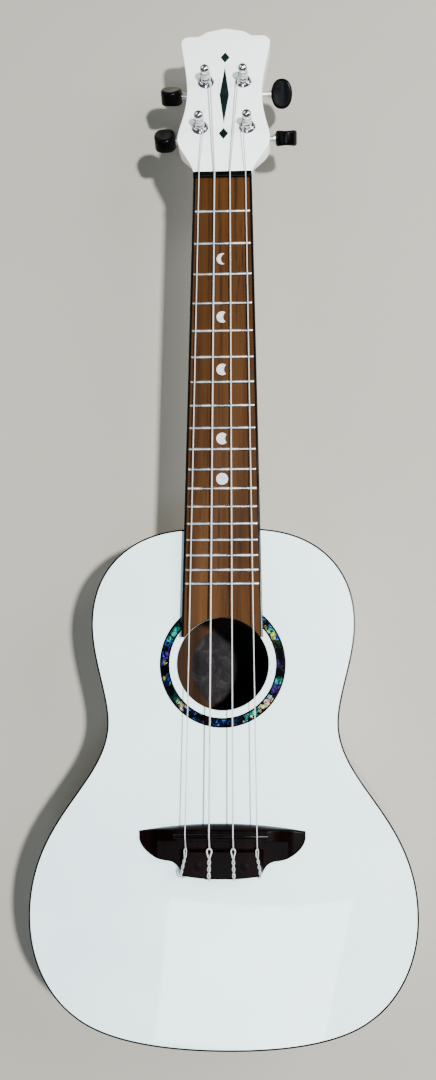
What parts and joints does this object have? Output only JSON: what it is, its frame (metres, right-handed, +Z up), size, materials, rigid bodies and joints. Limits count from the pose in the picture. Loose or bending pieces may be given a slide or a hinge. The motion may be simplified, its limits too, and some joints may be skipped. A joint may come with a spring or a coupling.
{
  "type": "ukulele",
  "caption": "Concert ukulele with a hollow hourglass body, fretted neck, tilted head and geared tuners, strung with nylon and lying on its back.",
  "frame": {"origin": "middle of the overall box, on the surface that the back lies on", "axes": "+Y along the neck towards the head, +Z up out of the soundhole, +X to the treble side"},
  "size_m": [0.2206, 0.6232, 0.0799],
  "materials": {
    "pearl_white": "pearl white gloss lacquer over thin laminated wood",
    "white_lacquer": "white gloss lacquer over wood",
    "bare_wood": "unfinished light brown wood",
    "black_binding": "gloss black plastic",
    "abalone": "iridescent shell pattern under clear gloss",
    "pearl_inlay": "mother-of-pearl look, polished",
    "dark_inlay": "dark green-black, gloss",
    "walnut_board": "oiled brown wood with dark streaks",
    "dark_bridge_wood": "very dark reddish-brown wood, satin",
    "plug_wood": "blackened wood plug",
    "black_gloss": "polished black plastic",
    "nickel": "bright nickel",
    "chrome_hardware": "polished chrome",
    "gear_brass": "satin brass",
    "nylon": "clear nylon",
    "label_paper": "matt printed paper disc, plain mottled dark"
  },
  "bodies": {
    "root": {"top": "pearl_white", "back": "white_lacquer", "side_bass": "white_lacquer", "side_treble": "white_lacquer", "linings": "bare_wood", "neck_block": "bare_wood", "tail_block": "bare_wood", "top_braces": "bare_wood", "fan_braces": "bare_wood", "bridge_plate": "bare_wood", "back_braces": "bare_wood", "soundhole_ring": "bare_wood", "rosette": "abalone", "rosette_lines": "black_binding", "binding_top": "black_binding", "binding_back": "black_binding", "label": "label_paper", "neck": "white_lacquer", "headstock": "white_lacquer", "head_inlay": "dark_inlay", "fingerboard": "walnut_board", "fingerboard_binding": "black_binding", "frets": "nickel", "fret_markers": "pearl_inlay", "nut": "black_gloss", "bridge": "dark_bridge_wood", "saddle": "black_gloss", "bridge_screws": "plug_wood", "string_g": "nylon", "string_c": "nylon", "string_e": "nylon", "string_a": "nylon", "tuner_plates": "chrome_hardware", "plate_screws": "chrome_hardware", "post_bushings": "chrome_hardware", "tuner_washers": "nylon"},
    "knob_shaft_g": {"knob_g": "black_gloss", "worm_g": "chrome_hardware"},
    "string_post_g": {"post_g": "chrome_hardware", "gear_g": "gear_brass", "gear_screw_g": "chrome_hardware", "winding_g": "nylon"},
    "knob_shaft_c": {"knob_c": "black_gloss", "worm_c": "chrome_hardware"},
    "string_post_c": {"post_c": "chrome_hardware", "gear_c": "gear_brass", "gear_screw_c": "chrome_hardware", "winding_c": "nylon"},
    "knob_shaft_e": {"knob_e": "black_gloss", "worm_e": "chrome_hardware"},
    "string_post_e": {"post_e": "chrome_hardware", "gear_e": "gear_brass", "gear_screw_e": "chrome_hardware", "winding_e": "nylon"},
    "knob_shaft_a": {"knob_a": "black_gloss", "worm_a": "chrome_hardware"},
    "string_post_a": {"post_a": "chrome_hardware", "gear_a": "gear_brass", "gear_screw_a": "chrome_hardware", "winding_a": "nylon"}
  },
  "joints": [
    {"name": "knob_turn_g", "type": "hinge", "parent": "root", "child": "knob_shaft_g", "pos_m": [-0.0146, 0.23543, 0.04577], "axis": [1, 0, 0], "continuous": true},
    {"name": "post_turn_g", "type": "hinge", "parent": "root", "child": "string_post_g", "pos_m": [-0.0146, 0.23254, 0.0642], "axis": [0, 0.2267, 0.974], "continuous": true},
    {"name": "knob_turn_c", "type": "hinge", "parent": "root", "child": "knob_shaft_c", "pos_m": [-0.0118, 0.27079, 0.03754], "axis": [1, 0, 0], "continuous": true},
    {"name": "post_turn_c", "type": "hinge", "parent": "root", "child": "string_post_c", "pos_m": [-0.0118, 0.26789, 0.05597], "axis": [0, 0.2267, 0.974], "continuous": true},
    {"name": "knob_turn_e", "type": "hinge", "parent": "root", "child": "knob_shaft_e", "pos_m": [0.0118, 0.27079, 0.03754], "axis": [1, 0, 0], "continuous": true},
    {"name": "post_turn_e", "type": "hinge", "parent": "root", "child": "string_post_e", "pos_m": [0.0118, 0.26789, 0.05597], "axis": [0, 0.2267, 0.974], "continuous": true},
    {"name": "knob_turn_a", "type": "hinge", "parent": "root", "child": "knob_shaft_a", "pos_m": [0.0146, 0.23543, 0.04577], "axis": [1, 0, 0], "continuous": true},
    {"name": "post_turn_a", "type": "hinge", "parent": "root", "child": "string_post_a", "pos_m": [0.0146, 0.23254, 0.0642], "axis": [0, 0.2267, 0.974], "continuous": true}
  ],
  "couplings": [
    {"joint": "post_turn_g", "follows": "knob_turn_g", "ratio": -0.071429},
    {"joint": "post_turn_c", "follows": "knob_turn_c", "ratio": -0.071429},
    {"joint": "post_turn_e", "follows": "knob_turn_e", "ratio": 0.071429},
    {"joint": "post_turn_a", "follows": "knob_turn_a", "ratio": 0.071429}
  ]
}
